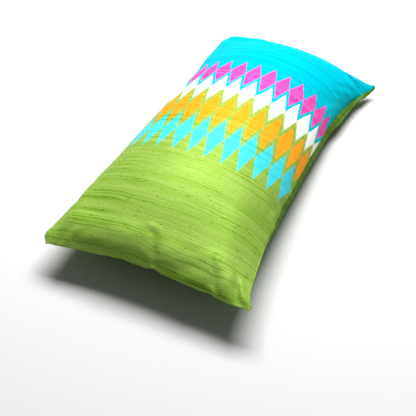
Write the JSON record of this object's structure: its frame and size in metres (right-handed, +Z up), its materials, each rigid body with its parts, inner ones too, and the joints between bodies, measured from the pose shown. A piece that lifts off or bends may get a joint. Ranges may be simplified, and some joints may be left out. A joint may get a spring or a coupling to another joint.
{
  "type": "cushion cover",
  "caption": "Filled rectangular cushion cover with a crowned front, drawn-in sides, pointed corners and a flat rest on its back.",
  "frame": {"origin": "under the middle of the cushion's bounding box, on the surface it rests on", "axes": "+Z up from the back panel to the front panel, +Y along the cushion from the green end to the cyan end, +X to the right side"},
  "size_m": [0.2928, 0.5002, 0.1111],
  "materials": {
    "front_cloth": "hand-woven raw silk with a soft sheen, green at one end and cyan at the other, with four rows of woven diamonds between",
    "back_cloth": "plain green hand-woven raw silk with a soft sheen"
  },
  "bodies": {
    "root": {"front_panel": "front_cloth", "back_panel": "back_cloth"}
  },
  "joints": []
}
